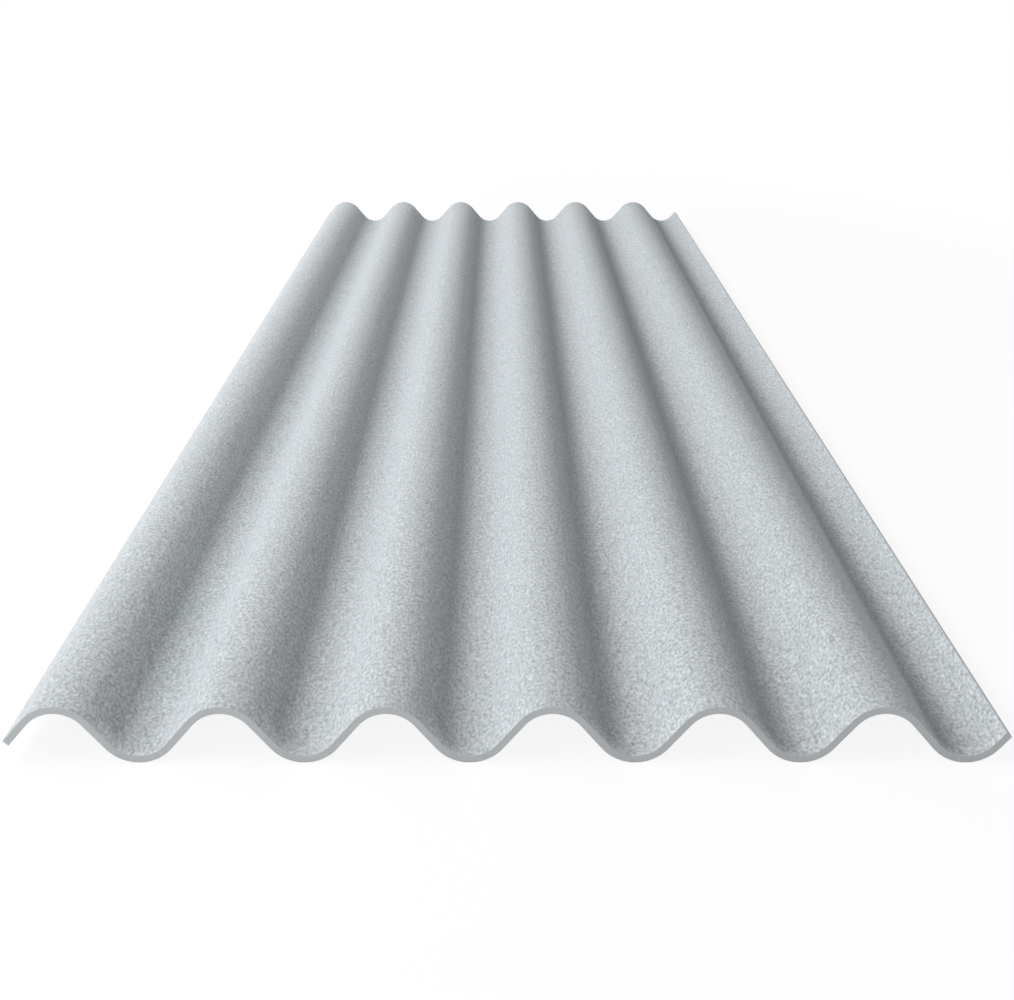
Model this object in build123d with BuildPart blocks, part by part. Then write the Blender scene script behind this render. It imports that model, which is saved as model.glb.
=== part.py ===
"""Corrugated fibre cement roofing sheet.

One sheet of fibre cement, pressed into parallel round waves while it was still
green, then cured and left with square trimmed edges. It lies on its valleys:
X runs across the waves, Y along them, and Z = 0 is the floor under the valleys.
"""

import os
from math import atan, ceil, tan

from build123d import *

# Driving dimensions, in millimetres
SHEET_LENGTH = 3660.0  # along the waves
SHEET_WIDTH = 1071.0  # across the waves, at the middle of the thickness
SHEET_THICKNESS = 8.0  # square to the surface, the same all over
WAVE_PITCH = 177.0  # from crest to crest
WAVE_HEIGHT = 57.0  # from valley to crest, on one face
FLANK_LENGTH = 36.0  # straight part of each flank, between the bends of a crest and a valley
FIRST_CREST = 53.0  # from the left edge to the first crest

# Slope of the flanks, and bend radius at the middle of the thickness, that make a wave of that height
half_pitch = WAVE_PITCH / 2
flank_slope = 2 * atan(WAVE_HEIGHT / (half_pitch + FLANK_LENGTH))
bend_radius = (half_pitch**2 + WAVE_HEIGHT**2 - FLANK_LENGTH**2) / (4 * WAVE_HEIGHT)

# Where the sheet lies: centred across, with the lower face of its valleys on the floor
left_edge = -SHEET_WIDTH / 2
right_edge = SHEET_WIDTH / 2
middle_level = (WAVE_HEIGHT + SHEET_THICKNESS) / 2

# The flanks, drawn on until they meet, are a zigzag with two corners to a wave. Its corners are
# counted from the one over the first crest, and it runs at least one wave past each edge.
zigzag_height = half_pitch * tan(flank_slope)
leftmost_corner = -2 * ceil(FIRST_CREST / WAVE_PITCH) - 2
rightmost_corner = 2 * ceil((SHEET_WIDTH - FIRST_CREST) / WAVE_PITCH) + 2


def zigzag_corner(index):
    """The corner over a crest, where the index is even, or under a valley."""
    side = 1 if index % 2 == 0 else -1
    return (left_edge + FIRST_CREST + index * half_pitch, middle_level + side * zigzag_height / 2)


corners = [zigzag_corner(index) for index in range(leftmost_corner, rightmost_corner + 1)]

with BuildPart() as corrugated_sheet:
    with BuildSketch(Plane.XZ) as section:
        with BuildLine() as middle_line:
            FilletPolyline(*corners, radius=bend_radius)
            split(bisect_by=Plane.YZ.offset(left_edge), keep=Keep.TOP)
            split(bisect_by=Plane.YZ.offset(right_edge), keep=Keep.BOTTOM)
        trace(line_width=SHEET_THICKNESS)
    extrude(amount=SHEET_LENGTH / 2, both=True)

corrugated_sheet.part.label = "corrugated_sheet"

os.makedirs("parts", exist_ok=True)
export_step(corrugated_sheet.part, "parts/corrugated_sheet.step")
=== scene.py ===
"""Corrugated fibre cement sheet, dressed and lit as in its photograph.

The sheet is pressed here as it is in the works: a flat blank is bent over a wavy former,
then its arrises are broken. X runs across the waves, Y along them, Z = 0 is the floor.
"""

from math import atan, ceil, cos, radians, sin, tan

import bpy
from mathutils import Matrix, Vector


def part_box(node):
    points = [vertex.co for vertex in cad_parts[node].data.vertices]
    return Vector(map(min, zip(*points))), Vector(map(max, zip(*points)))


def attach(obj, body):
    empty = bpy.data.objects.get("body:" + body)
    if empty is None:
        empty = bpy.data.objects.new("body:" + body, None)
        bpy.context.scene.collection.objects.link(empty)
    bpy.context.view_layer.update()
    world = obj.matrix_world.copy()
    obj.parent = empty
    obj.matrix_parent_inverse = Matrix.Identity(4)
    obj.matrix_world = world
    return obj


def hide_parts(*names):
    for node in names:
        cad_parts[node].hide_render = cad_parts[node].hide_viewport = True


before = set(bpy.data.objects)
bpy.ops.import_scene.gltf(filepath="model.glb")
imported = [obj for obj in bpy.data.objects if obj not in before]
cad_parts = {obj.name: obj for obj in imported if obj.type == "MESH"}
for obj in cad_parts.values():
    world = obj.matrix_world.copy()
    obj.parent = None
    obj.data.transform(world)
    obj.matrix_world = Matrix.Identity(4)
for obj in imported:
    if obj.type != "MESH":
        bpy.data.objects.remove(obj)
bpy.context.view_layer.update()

MM = 0.001

# Section of the sheet, in millimetres, as in the part's source
SHEET_WIDTH = 1071.0  # across the waves, at the middle of the thickness
SHEET_THICKNESS = 8.0
WAVE_PITCH = 177.0
WAVE_HEIGHT = 57.0
FLANK_LENGTH = 36.0  # straight part of each flank
FIRST_CREST = 53.0  # from the left edge to the first crest

# What the works leave on the sheet
ARRIS = 0.25  # broken edge between a face and a cut edge, in millimetres
THICKNESS_PLAY = 0.02  # share of the thickness that the green sheet loses here and there
THIN_SPOT = 240.0  # size of such a place, in millimetres

# Patterns of the finishes, in millimetres
GRAIN = 2.0  # cement grains of the upper face, coarser than real grit so that they can show
SPECK = 3.2  # places where those grains gather
DRYING_CLOUD = 70.0  # paler and darker places on the upper face
FIBRE_DRAW = 2.0  # times that the fibres draw grains and specks out along the sheet
CUT_DUST = 3.0  # dust that fills the pores of a cut edge
PLY = 1.0  # films that the sheet is built up from, coarser than the real ones so that they can show
FELT_GRAIN = 3.0  # cement grains of the underside, as coarse as they need to show
FELT_CLOUD = 90.0  # paler and darker places on the underside
FELT_RIB = 3.0  # from rib to rib of the felt, twice as coarse as the real one so that they can show

# Bands that a wave texture draws on each unit at a scale of 1
WAVE_TEXTURE_BANDS = 3.2

# Steps of the mesh
STEPS_ACROSS = 288
STEPS_ALONG = 122
STEPS_ROUND_A_BEND = 32

# Studio
FLOOR_REACH = 60.0  # metres from the middle of the floor to its sides
FLOOR_LEVEL = -0.0003  # metres, just clear of the sheet's underside
LIT_FLOOR = (2.0, 3.5)  # half width and half length, in metres, of the floor that shows the sheet's shadow
WORLD_LIGHT = 0.233  # strength of the world where it lights the sheet


def linear(hex_colour):
    """Linear RGBA of an sRGB hex colour."""
    shares = [int(hex_colour[i : i + 2], 16) / 255 for i in (1, 3, 5)]
    return (*[s / 12.92 if s <= 0.04045 else ((s + 0.055) / 1.055) ** 2.4 for s in shares], 1.0)


def per_metre(size_mm):
    """Pattern scale that gives cells of that size, on coordinates in metres."""
    return 1000.0 / size_mm


def add(tree, kind, inputs=None, **settings):
    """A node of that kind, with its settings, and its inputs given as plain values or as sockets to link."""
    node = tree.nodes.new(kind)
    for name, value in settings.items():
        setattr(node, name, value)
    for key, value in (inputs or {}).items():
        if isinstance(value, bpy.types.NodeSocket):
            tree.links.new(value, node.inputs[key])
        else:
            node.inputs[key].default_value = value
    return node


def new_material(name):
    """An empty node material and its tree."""
    material = bpy.data.materials.new(name)
    material.use_nodes = True
    material.node_tree.nodes.clear()
    return material, material.node_tree


def matt_cement(tree, patterns, base, dark, pale, roughness, relief, bump_strength, bump_depth):
    """What all the cement finishes share. The patterns, each times its weight, add up on the base to a shade
    between dark and pale. The relief, which is the shade itself where it is None, is raised to a depth in
    millimetres."""
    shade = base
    for pattern, weight in patterns:
        total = add(tree, "ShaderNodeMath", {0: pattern, 1: weight, 2: shade}, operation="MULTIPLY_ADD")
        shade = total.outputs[0]
    # A mix of colours has them on its inputs 6 and 7, and its result on output 2
    colour = add(tree, "ShaderNodeMix", {0: shade, 6: linear(dark), 7: linear(pale)}, data_type="RGBA")
    height = shade if relief is None else relief
    raised = {"Height": height, "Strength": bump_strength, "Distance": bump_depth * MM}
    surface = {
        "Base Color": colour.outputs[2],
        "Normal": add(tree, "ShaderNodeBump", raised).outputs["Normal"],
        "Roughness": roughness,
        "IOR": 1.5,
        "Specular IOR Level": 0.25,
    }
    shader = add(tree, "ShaderNodeBsdfPrincipled", surface)
    add(tree, "ShaderNodeOutputMaterial", {"Surface": shader.outputs["BSDF"]})


def pressed_face():
    """Pressed fibre cement: cement skin dried on a smooth former. It is dead matt and pale blue-grey, with
    a close speckle of light and dark grains, and the fibres draw the grains out along the sheet."""
    material, tree = new_material("pressed_fibre_cement")
    place = add(tree, "ShaderNodeTexCoord").outputs["Object"]
    drawn = add(tree, "ShaderNodeMapping", {"Vector": place, "Scale": (1.0, 1 / FIBRE_DRAW, 1.0)})
    along = drawn.outputs["Vector"]
    grains = add(tree, "ShaderNodeTexVoronoi", {"Vector": along, "Scale": per_metre(GRAIN)})
    grain = add(tree, "ShaderNodeSeparateColor", {"Color": grains.outputs["Color"]}).outputs["Red"]
    specks = add(tree, "ShaderNodeTexNoise", {"Vector": along, "Scale": per_metre(SPECK), "Detail": 0.0})
    speck = specks.outputs["Fac"]
    clouds = add(
        tree, "ShaderNodeTexNoise", {"Vector": place, "Scale": per_metre(DRYING_CLOUD), "Detail": 2.0}
    )
    roughness = add(tree, "ShaderNodeMapRange", {"Value": grain, "To Min": 0.84, "To Max": 0.94})
    relief = add(tree, "ShaderNodeMath", {0: grain, 1: 0.5, 2: speck}, operation="MULTIPLY_ADD")
    matt_cement(
        tree,
        patterns=((grain, 0.19), (speck, 1.10), (clouds.outputs["Fac"], 0.06)),
        base=-0.165,
        dark="#919599",
        pale="#D3D8DB",
        roughness=roughness.outputs["Result"],
        relief=relief.outputs[0],
        bump_strength=0.35,
        bump_depth=0.2,
    )
    return material


def cut_edge(name, dark, pale):
    """Cut fibre cement: dust fills the pores, so it is plain and smooth, with faint lines where the plies of
    the sheet meet. The sawn ends are a little darker than the lit face. The sides, which a wheel trims while
    the sheet is wet, are given a far paler colour: painted light that lifts the shade they lie in."""
    material, tree = new_material(name)
    place = add(tree, "ShaderNodeTexCoord").outputs["Object"]
    dust = add(tree, "ShaderNodeTexNoise", {"Vector": place, "Scale": per_metre(CUT_DUST), "Detail": 2.0})
    depth = add(tree, "ShaderNodeAttribute", attribute_name="depth").outputs["Fac"]
    ply = add(tree, "ShaderNodeMath", {0: depth, 1: PLY * MM}, operation="PINGPONG")
    matt_cement(
        tree,
        patterns=((ply.outputs[0], 0.12 / MM), (dust.outputs["Fac"], 0.5)),
        base=0.2,
        dark=dark,
        pale=pale,
        roughness=0.92,
        relief=None,
        bump_strength=0.2,
        bump_depth=0.1,
    )
    return material


def felt_face():
    """Felt-marked fibre cement: the underside, which lay on the felt that carried the wet sheet. It is as
    matt as the upper face and a shade darker, with the felt's fine rib pressed into it."""
    material, tree = new_material("felt_marked_fibre_cement")
    place = add(tree, "ShaderNodeTexCoord").outputs["Object"]
    grains = add(tree, "ShaderNodeTexVoronoi", {"Vector": place, "Scale": per_metre(FELT_GRAIN)})
    grain = add(tree, "ShaderNodeSeparateColor", {"Color": grains.outputs["Color"]}).outputs["Red"]
    clouds = add(
        tree, "ShaderNodeTexNoise", {"Vector": place, "Scale": per_metre(FELT_CLOUD), "Detail": 2.0}
    )
    weave = {
        "Vector": place,
        "Scale": per_metre(FELT_RIB) / WAVE_TEXTURE_BANDS,
        "Distortion": 1.5,
        "Detail": 1.0,
        "Detail Scale": 0.5,
    }
    rib = add(tree, "ShaderNodeTexWave", weave, bands_direction="Y").outputs["Fac"]
    matt_cement(
        tree,
        patterns=((grain, 0.45), (clouds.outputs["Fac"], 0.15), (rib, 0.2)),
        base=0.1,
        dark="#989D9F",
        pale="#C2C7CA",
        roughness=0.92,
        relief=rib,
        bump_strength=0.4,
        bump_depth=0.2,
    )
    return material


def press_tree(sizes, upper, under, ends, sides):
    """Geometry nodes that bend a flat blank over a wavy former and give each face its finish. Each of the
    sizes is an input of that name."""
    tree = bpy.data.node_groups.new("press_sheet", "GeometryNodeTree")
    for name, value in sizes.items():
        kind = "NodeSocketInt" if isinstance(value, int) else "NodeSocketFloat"
        tree.interface.new_socket(name, in_out="INPUT", socket_type=kind)
    tree.interface.new_socket("Sheet", in_out="OUTPUT", socket_type="NodeSocketGeometry")
    size = add(tree, "NodeGroupInput").outputs

    # Former: a zigzag with a corner over each crest and under each valley, then its bends
    start = add(tree, "ShaderNodeCombineXYZ", {"X": size["First Corner"], "Z": size["Middle Level"]})
    step = add(tree, "ShaderNodeCombineXYZ", {"X": size["Half Pitch"]})
    line = add(
        tree,
        "GeometryNodeMeshLine",
        {"Count": size["Corners"], "Start Location": start.outputs[0], "Offset": step.outputs[0]},
    )
    index = add(tree, "GeometryNodeInputIndex").outputs[0]
    odd = add(tree, "ShaderNodeMath", {0: index, 1: 2.0}, operation="MODULO")
    side = add(tree, "ShaderNodeMath", {0: odd.outputs[0], 1: 0.5}, operation="SUBTRACT")
    lift = add(tree, "ShaderNodeMath", {0: side.outputs[0], 1: size["Zigzag Height"]}, operation="MULTIPLY")
    up = add(tree, "ShaderNodeCombineXYZ", {"Z": lift.outputs[0]})
    zigzag = add(tree, "GeometryNodeSetPosition", {"Geometry": line.outputs[0], "Offset": up.outputs[0]})
    run = add(tree, "GeometryNodeMeshToCurve", {"Mesh": zigzag.outputs[0]})
    bends = add(
        tree,
        "GeometryNodeFilletCurve",
        {"Curve": run.outputs[0], "Count": size["Steps Round a Bend"], "Radius": size["Bend Radius"]},
        mode="POLY",
    )
    run_length = add(tree, "GeometryNodeCurveLength", {"Curve": bends.outputs[0]}).outputs[0]
    run_end = add(tree, "ShaderNodeMath", {0: run_length, 1: size["Right Trim"]}, operation="SUBTRACT")
    # A trim by length has its start and end on inputs 4 and 5
    former = add(
        tree,
        "GeometryNodeTrimCurve",
        {"Curve": bends.outputs[0], 4: size["Left Trim"], 5: run_end.outputs[0]},
        mode="LENGTH",
    ).outputs[0]
    former_length = add(tree, "GeometryNodeCurveLength", {"Curve": former}).outputs[0]

    # Blank: one unit wide, which the former's length then stretches to its real width
    blank_size = add(
        tree, "ShaderNodeCombineXYZ", {"X": 1.0, "Y": size["Sheet Length"], "Z": size["Sheet Thickness"]}
    )
    blank = add(
        tree,
        "GeometryNodeMeshCube",
        {
            "Size": blank_size.outputs[0],
            "Vertices X": size["Steps Across"],
            "Vertices Y": size["Steps Along"],
        },
    )
    flat = add(tree, "ShaderNodeSeparateXYZ", {"Vector": add(tree, "GeometryNodeInputPosition").outputs[0]})
    kept = add(
        tree,
        "GeometryNodeStoreNamedAttribute",
        {"Geometry": blank.outputs[0], "Name": "depth", "Value": flat.outputs["Z"]},
        data_type="FLOAT",
        domain="POINT",
    )
    facing = add(tree, "GeometryNodeCaptureAttribute", domain="FACE")
    facing.capture_items.new("VECTOR", "Facing")
    tree.links.new(kept.outputs[0], facing.inputs["Geometry"])
    tree.links.new(add(tree, "GeometryNodeInputNormal").outputs["Normal"], facing.inputs["Facing"])
    towards = add(tree, "ShaderNodeSeparateXYZ", {"Vector": facing.outputs["Facing"]}).outputs

    # The green sheet is a little thinner here and there
    share = add(tree, "ShaderNodeMath", {0: flat.outputs["X"], 1: 0.5}, operation="ADD").outputs[0]
    width_run = add(tree, "ShaderNodeMath", {0: share, 1: former_length}, operation="MULTIPLY")
    spot = add(tree, "ShaderNodeCombineXYZ", {"X": width_run.outputs[0], "Y": flat.outputs["Y"]})
    thin = add(
        tree,
        "ShaderNodeTexNoise",
        {"Vector": spot.outputs[0], "W": size["Seed"], "Scale": per_metre(THIN_SPOT), "Detail": 1.0},
        noise_dimensions="4D",
    )
    loss = add(
        tree, "ShaderNodeMath", {0: thin.outputs["Fac"], 1: size["Thickness Play"]}, operation="MULTIPLY"
    )
    left_over = add(tree, "ShaderNodeMath", {0: 1.0, 1: loss.outputs[0]}, operation="SUBTRACT")
    depth = add(
        tree, "ShaderNodeMath", {0: flat.outputs["Z"], 1: left_over.outputs[0]}, operation="MULTIPLY"
    )

    # Pressing: each point goes to its place on the former, square to it by its depth
    bed = add(tree, "GeometryNodeSampleCurve", {"Curves": former, "Factor": share}, mode="FACTOR")
    square = add(
        tree,
        "ShaderNodeVectorMath",
        {0: bed.outputs["Tangent"], 1: (0.0, 1.0, 0.0)},
        operation="CROSS_PRODUCT",
    )
    off = add(
        tree, "ShaderNodeVectorMath", {0: square.outputs[0], "Scale": depth.outputs[0]}, operation="SCALE"
    )
    down_sheet = add(tree, "ShaderNodeCombineXYZ", {"Y": flat.outputs["Y"]})
    place = bed.outputs["Position"]
    for shift in (off, down_sheet):
        moved = add(tree, "ShaderNodeVectorMath", {0: place, 1: shift.outputs[0]}, operation="ADD")
        place = moved.outputs[0]
    pressed = add(
        tree, "GeometryNodeSetPosition", {"Geometry": facing.outputs["Geometry"], "Position": place}
    )
    smooth = add(tree, "GeometryNodeSetShadeSmooth", {"Geometry": pressed.outputs[0]})

    # Finishes, by the way that each face of the blank pointed
    is_under = add(tree, "ShaderNodeMath", {0: towards["Z"], 1: -0.5}, operation="LESS_THAN")
    endwise = add(tree, "ShaderNodeMath", {0: towards["Y"]}, operation="ABSOLUTE")
    is_end = add(tree, "ShaderNodeMath", {0: endwise.outputs[0], 1: 0.5}, operation="GREATER_THAN")
    sidewise = add(tree, "ShaderNodeMath", {0: towards["X"]}, operation="ABSOLUTE")
    is_side = add(tree, "ShaderNodeMath", {0: sidewise.outputs[0], 1: 0.5}, operation="GREATER_THAN")
    whole = add(tree, "GeometryNodeRealizeInstances", {"Geometry": smooth.outputs[0]})
    whole = add(tree, "GeometryNodeSetMaterial", {"Geometry": whole.outputs[0], "Material": upper})
    for chosen, finish in ((is_under, under), (is_end, ends), (is_side, sides)):
        whole = add(
            tree,
            "GeometryNodeSetMaterial",
            {"Geometry": whole.outputs[0], "Selection": chosen.outputs[0], "Material": finish},
        )
    add(tree, "NodeGroupOutput", {"Sheet": whole.outputs[0]})
    return tree


def corrugated_sheet():
    """The sheet as one plain mesh, pressed and with its arrises broken."""
    half_pitch = WAVE_PITCH / 2
    flank_slope = 2 * atan(WAVE_HEIGHT / (half_pitch + FLANK_LENGTH))
    bend_radius = (half_pitch**2 + WAVE_HEIGHT**2 - FLANK_LENGTH**2) / (4 * WAVE_HEIGHT)
    left_edge = -SHEET_WIDTH / 2
    right_edge = SHEET_WIDTH / 2
    # The former runs from the valley before the first crest to the crest after the last valley
    first_corner = left_edge + FIRST_CREST - half_pitch
    corners = ceil((right_edge - first_corner) / half_pitch) + 1
    last_corner = first_corner + (corners - 1) * half_pitch
    low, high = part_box("corrugated_sheet")
    sizes = {
        "Sheet Length": high.y - low.y,
        "Sheet Thickness": SHEET_THICKNESS * MM,
        "Half Pitch": half_pitch * MM,
        "First Corner": first_corner * MM,
        "Middle Level": (WAVE_HEIGHT + SHEET_THICKNESS) / 2 * MM,
        "Zigzag Height": half_pitch * tan(flank_slope) * MM,
        "Bend Radius": bend_radius * MM,
        "Left Trim": (left_edge - first_corner) / cos(flank_slope) * MM,
        "Right Trim": (last_corner - right_edge) / cos(flank_slope) * MM,
        "Thickness Play": THICKNESS_PLAY,
        "Corners": corners,
        "Steps Across": STEPS_ACROSS + 1,
        "Steps Along": STEPS_ALONG + 1,
        "Steps Round a Bend": STEPS_ROUND_A_BEND,
        "Seed": 7,
    }
    ends = cut_edge("sawn_fibre_cement", "#AFB3B5", "#BBBFC1")
    # The sides' pale colours are painted light: far paler than the sawn ends, to lift the shade that the
    # sides lie in
    sides = cut_edge("trimmed_fibre_cement_painted_light", "#D2D6D8", "#DEE2E4")
    tree = press_tree(sizes, pressed_face(), felt_face(), ends, sides)
    sheet = bpy.data.objects.new("fibre_cement_sheet", bpy.data.meshes.new("fibre_cement_sheet"))
    bpy.context.scene.collection.objects.link(sheet)
    press = sheet.modifiers.new("press", "NODES")
    press.node_group = tree
    for item in tree.interface.items_tree:
        if item.in_out == "INPUT":
            press[item.identifier] = sizes[item.name]
    arris = sheet.modifiers.new("arris", "BEVEL")
    arris.width = ARRIS * MM
    arris.segments = 2
    arris.limit_method = "ANGLE"
    arris.angle_limit = radians(50)
    arris.harden_normals = True
    finished = sheet.evaluated_get(bpy.context.evaluated_depsgraph_get())
    mesh = bpy.data.meshes.new_from_object(finished)
    mesh.name = "fibre_cement_sheet"
    sheet.modifiers.clear()
    sheet.data = mesh
    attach(sheet, "root")
    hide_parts("corrugated_sheet")


def seen_share(tree):
    """1 for the rays that see the white studio, straight, in gloss or through glass, and 0 for the rest."""
    rays = add(tree, "ShaderNodeLightPath").outputs
    seen = rays["Is Camera Ray"]
    for ray in ("Is Glossy Ray", "Is Transmission Ray"):
        seen = add(tree, "ShaderNodeMath", {0: seen, 1: rays[ray]}, operation="MAXIMUM").outputs[0]
    return seen


def studio_floor():
    """Pale floor: plain white where it is seen, but near the sheet a tenth of what shows is lit, and that
    keeps the shadow."""
    material, tree = new_material("studio_floor")
    spot = add(tree, "ShaderNodeTexCoord").outputs["Object"]
    half_width, half_length = LIT_FLOOR
    shrunk = {"Vector": spot, "Scale": (1 / half_width, 1 / half_length, 0.0)}
    reach = add(tree, "ShaderNodeMapping", shrunk).outputs["Vector"]
    away = add(tree, "ShaderNodeVectorMath", {0: reach}, operation="LENGTH").outputs["Value"]
    plain = add(
        tree,
        "ShaderNodeMapRange",
        {"Value": away, "From Min": 0.6, "To Min": 0.9},
        interpolation_type="SMOOTHSTEP",
    )
    share = add(
        tree, "ShaderNodeMath", {0: seen_share(tree), 1: plain.outputs["Result"]}, operation="MULTIPLY"
    )
    matt = add(tree, "ShaderNodeBsdfDiffuse", {"Color": linear("#FCFCFC")})
    white = add(tree, "ShaderNodeEmission", {"Color": linear("#FFFFFF"), "Strength": 1.0})
    mix = add(tree, "ShaderNodeMixShader", {0: share.outputs[0], 1: matt.outputs[0], 2: white.outputs[0]})
    add(tree, "ShaderNodeOutputMaterial", {"Surface": mix.outputs[0]})
    mesh = bpy.data.meshes.new("studio_floor")
    signs = ((-1, -1), (1, -1), (1, 1), (-1, 1))
    mesh.from_pydata([(x * FLOOR_REACH, y * FLOOR_REACH, FLOOR_LEVEL) for x, y in signs], [], [(0, 1, 2, 3)])
    mesh.materials.append(material)
    floor = bpy.data.objects.new("studio_floor", mesh)
    bpy.context.scene.collection.objects.link(floor)


def studio_world():
    """World: white where it is seen, a plain level where it lights the sheet."""
    world = bpy.data.worlds.new("studio")
    world.use_nodes = True
    tree = world.node_tree
    tree.nodes.clear()
    levels = {"Value": seen_share(tree), "To Min": WORLD_LIGHT, "To Max": 1.0}
    level = add(tree, "ShaderNodeMapRange", levels).outputs["Result"]
    sky = add(tree, "ShaderNodeBackground", {"Color": linear("#FFFFFF"), "Strength": level})
    add(tree, "ShaderNodeOutputWorld", {"Surface": sky.outputs[0]})
    bpy.context.scene.world = world


def hang_lamp(kind, name, energy, rise, turn, distance):
    """A lamp aimed at the middle of the sheet. It rises above level, and turns from the left towards the
    camera, by angles in degrees. Gives its settings."""
    settings = bpy.data.lights.new(name, kind)
    settings.energy = energy
    lamp = bpy.data.objects.new(name, settings)
    level = cos(radians(rise))
    towards = Vector((-level * cos(radians(turn)), -level * sin(radians(turn)), sin(radians(rise))))
    lamp.rotation_mode = "QUATERNION"
    lamp.rotation_quaternion = towards.to_track_quat("Z", "Y")
    lamp.location = towards * distance
    lamp.visible_camera = False
    bpy.context.scene.collection.objects.link(lamp)
    return settings


def studio_lamps():
    """A long soft box on the left, whose light falls off across the sheet, more soft light from the same
    side, and a low fill from the right that grazes the crests."""
    soft_box = hang_lamp("AREA", "soft_box", energy=126.0, rise=50.2, turn=0.0, distance=2.343)
    soft_box.shape = "RECTANGLE"
    soft_box.size = 12.0
    soft_box.size_y = 0.8
    side_light = hang_lamp("SUN", "side_light", energy=1.16, rise=30.0, turn=5.0, distance=6.0)
    side_light.angle = radians(40.0)
    low_fill = hang_lamp("SUN", "low_fill", energy=0.73, rise=10.0, turn=165.0, distance=6.0)
    low_fill.angle = radians(20.0)


def photo_camera():
    """The camera, where the outline of the sheet in the photograph puts it."""
    settings = bpy.data.cameras.new("photo_camera")
    settings.lens = 60.91
    settings.sensor_width = 36.0
    settings.sensor_fit = "HORIZONTAL"
    settings.shift_x = 0.0071
    settings.clip_end = 200.0
    camera = bpy.data.objects.new("photo_camera", settings)
    degrees_down = 18.133
    camera.location = (-0.0078, -3.489, 0.8393)
    camera.rotation_euler = (radians(90 - degrees_down), 0.0, 0.0)
    bpy.context.scene.collection.objects.link(camera)
    bpy.context.scene.camera = camera


corrugated_sheet()
studio_floor()
studio_world()
studio_lamps()
photo_camera()
bpy.context.scene.view_settings.view_transform = "Standard"
